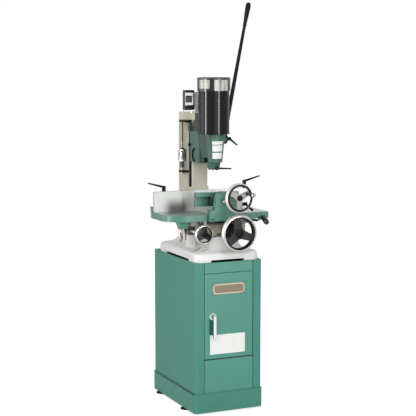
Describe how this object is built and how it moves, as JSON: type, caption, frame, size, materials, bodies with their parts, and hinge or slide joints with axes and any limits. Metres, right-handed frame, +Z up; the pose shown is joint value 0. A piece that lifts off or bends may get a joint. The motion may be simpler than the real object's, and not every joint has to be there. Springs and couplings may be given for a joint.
{
  "type": "hollow chisel mortiser",
  "caption": "Floor-standing hollow chisel mortiser: cabinet stand, cross-slide table with fence and vise, and a motor head lowered on a column by a long feed lever.",
  "frame": {"origin": "on the floor at the centre of the cabinet's anchor holes", "axes": "+X to the operator's right, +Y to the rear, +Z up"},
  "size_m": [0.6113, 0.6831, 1.9872],
  "materials": {
    "green_paint": "semi-gloss green enamel",
    "white_casting": "pale grey enamel on cast iron",
    "beige_paint": "beige-grey enamel on cast iron",
    "raw_casting": "grey-brown cast iron",
    "ground_iron": "ground cast iron",
    "black_paint": "black enamel",
    "motor_black": "gloss black enamel",
    "steel": "machined steel",
    "dark_steel": "blackened steel",
    "chrome": "polished chrome",
    "bronze": "bronze",
    "rubber": "matt black rubber",
    "plastic_black": "black moulding",
    "plastic_grey": "grey moulding",
    "knob_black": "gloss black moulding",
    "copper_wound": "laminated ring with copper winding"
  },
  "bodies": {
    "stand": {"side_panel_left": "green_paint", "side_panel_right": "green_paint", "back_panel": "green_paint", "front_panels": "green_paint", "plinth": "green_paint", "floor_feet": "rubber", "base_casting": "white_casting", "hold_down_bolts": "steel", "column": "beige_paint", "column_cap": "beige_paint", "column_rack": "steel", "depth_rod": "chrome", "depth_rod_bracket": "black_paint", "switch_box": "plastic_black"},
    "door": {"cabinet_door": "green_paint"},
    "door_lever": {"door_handle": "chrome"},
    "saddle": {"saddle": "raw_casting", "feed_housing": "black_paint"},
    "cross_feed": {"cross_feed_screw": "steel", "cross_handwheel": "chrome"},
    "long_feed": {"feed_shaft": "steel", "long_handwheel": "chrome"},
    "lock_rod": {"table_lock_rod": "dark_steel", "table_lock_grip": "knob_black"},
    "table": {"table": "green_paint", "table_gib": "steel", "table_rack": "steel", "table_stop_post": "steel", "vise_bracket": "green_paint", "vise_bracket_bolts": "steel"},
    "stop_lever": {"stop_lock_lever": "bronze"},
    "table_clamp": {"table_lock_screw": "steel"},
    "fence": {"fence_plate": "ground_iron", "fence_brackets": "green_paint"},
    "fence_clamp_left": {"fence_lever_left": "black_paint"},
    "fence_clamp_right": {"fence_lever_right": "black_paint"},
    "jaw": {"vise_jaw": "green_paint", "vise_guide_rods": "chrome"},
    "vise_drive": {"vise_screw": "steel", "vise_handwheel": "chrome"},
    "wheel_handle": {"vise_wheel_handle": "chrome"},
    "rod_clamp": {"vise_lock_lever": "black_paint"},
    "head": {"head_casting": "green_paint", "motor_can": "motor_black", "motor_stator": "copper_wound", "motor_bearings": "steel", "fan_cover": "motor_black", "chisel_holder": "green_paint", "chisel_bushing": "steel", "stop_arm": "black_paint"},
    "spindle": {"spindle_rotor": "steel", "cooling_fan": "plastic_black", "drill_chuck": "dark_steel"},
    "feed": {"feed_pinion": "steel", "feed_lever": "black_paint", "lever_grip": "rubber"},
    "head_clamp": {"head_lock_lever": "black_paint"},
    "chisel_clamp": {"chisel_lock_lever": "black_paint"},
    "depth_stop": {"depth_collar": "chrome"},
    "rocker": {"switch_rocker": "plastic_grey"}
  },
  "joints": [
    {"name": "door_swing", "type": "hinge", "parent": "stand", "child": "door", "pos_m": [0.1227, -0.26, 0.4765], "axis": [0, 0, 1], "range_deg": [0, 110]},
    {"name": "door_handle_turn", "type": "hinge", "parent": "door", "child": "door_lever", "pos_m": [-0.087, -0.277, 0.478], "axis": [0, -1, 0], "range_deg": [0, 90]},
    {"name": "cross_travel", "type": "slide", "parent": "stand", "child": "saddle", "axis": [0, 1, 0], "range_m": [-0.035, 0.035]},
    {"name": "cross_screw_turn", "type": "hinge", "parent": "saddle", "child": "cross_feed", "pos_m": [-0.107, -0.21, 0.868], "axis": [0, 1, 0], "range_deg": [-1262, 1262]},
    {"name": "table_travel", "type": "slide", "parent": "saddle", "child": "table", "axis": [-1, 0, 0], "range_m": [-0.036, 0.105]},
    {"name": "long_wheel_turn", "type": "hinge", "parent": "saddle", "child": "long_feed", "pos_m": [0.021, -0.33, 0.882], "axis": [0, 1, 0], "range_deg": [-403, 139]},
    {"name": "table_lock_turn", "type": "hinge", "parent": "saddle", "child": "lock_rod", "pos_m": [0, -0.186, 0.922], "axis": [1, 0, 0], "range_deg": [0, 50]},
    {"name": "stop_lever_swing", "type": "hinge", "parent": "table", "child": "stop_lever", "pos_m": [-0.203, -0.1615, 0.868], "axis": [0, 1, 0], "range_deg": [-25, 25]},
    {"name": "table_clamp_turn", "type": "hinge", "parent": "table", "child": "table_clamp", "pos_m": [-0.176, -0.15, 0.89], "axis": [0, 0, 1], "range_deg": [-90, 90]},
    {"name": "fence_slide", "type": "slide", "parent": "table", "child": "fence", "axis": [0, 1, 0], "range_m": [-0.04, 0]},
    {"name": "fence_lever_left_turn", "type": "hinge", "parent": "fence", "child": "fence_clamp_left", "pos_m": [-0.233, -0.012, 1.075], "axis": [0, 0, 1], "range_deg": [-60, 60]},
    {"name": "fence_lever_right_turn", "type": "hinge", "parent": "fence", "child": "fence_clamp_right", "pos_m": [0.203, -0.012, 1.075], "axis": [0, 0, 1], "range_deg": [-60, 60]},
    {"name": "vise_travel", "type": "slide", "parent": "table", "child": "jaw", "axis": [0, 1, 0], "range_m": [-0.05, 0.02]},
    {"name": "vise_screw_turn", "type": "hinge", "parent": "jaw", "child": "vise_drive", "pos_m": [0.024, -0.33, 1.05], "axis": [0, 1, 0], "range_deg": [-1795, 715]},
    {"name": "wheel_handle_spin", "type": "hinge", "parent": "vise_drive", "child": "wheel_handle", "pos_m": [0.06142, -0.37, 1.06907], "axis": [0, 1, 0], "continuous": true},
    {"name": "rod_clamp_turn", "type": "hinge", "parent": "table", "child": "rod_clamp", "pos_m": [0.1, -0.2115, 1.006], "axis": [1, 0, 0], "range_deg": [-30, 30]},
    {"name": "head_travel", "type": "slide", "parent": "stand", "child": "head", "axis": [0, 0, 1], "range_m": [-0.09, 0]},
    {"name": "lever_swing", "type": "hinge", "parent": "head", "child": "feed", "pos_m": [0, 0.041, 1.31], "axis": [1, 0, 0], "range_deg": [0, 123.5]},
    {"name": "spindle_spin", "type": "hinge", "parent": "head", "child": "spindle", "pos_m": [0, -0.087, 1.3], "axis": [0, 0, 1], "continuous": true},
    {"name": "head_clamp_turn", "type": "hinge", "parent": "head", "child": "head_clamp", "pos_m": [0.06, -0.108, 1.318], "axis": [1, 0, 0], "range_deg": [-40, 40]},
    {"name": "chisel_clamp_turn", "type": "hinge", "parent": "head", "child": "chisel_clamp", "pos_m": [0, -0.12, 1.177], "axis": [0, 1, 0], "range_deg": [-30, 45]},
    {"name": "depth_stop_slide", "type": "slide", "parent": "stand", "child": "depth_stop", "axis": [0, 0, 1], "range_m": [-0.012, 0.033]},
    {"name": "rocker_tip", "type": "hinge", "parent": "stand", "child": "rocker", "pos_m": [-0.0885, 0.024, 1.51], "axis": [1, 0, 0], "range_deg": [-8, 8]}
  ],
  "couplings": [
    {"joint": "cross_screw_turn", "follows": "cross_travel", "rad_per_m": 628.32},
    {"joint": "long_wheel_turn", "follows": "table_travel", "rad_per_m": -66.667},
    {"joint": "vise_travel", "follows": "vise_screw_turn", "m_per_rad": 0.0015915},
    {"joint": "lever_swing", "follows": "head_travel", "rad_per_m": -23.809}
  ]
}
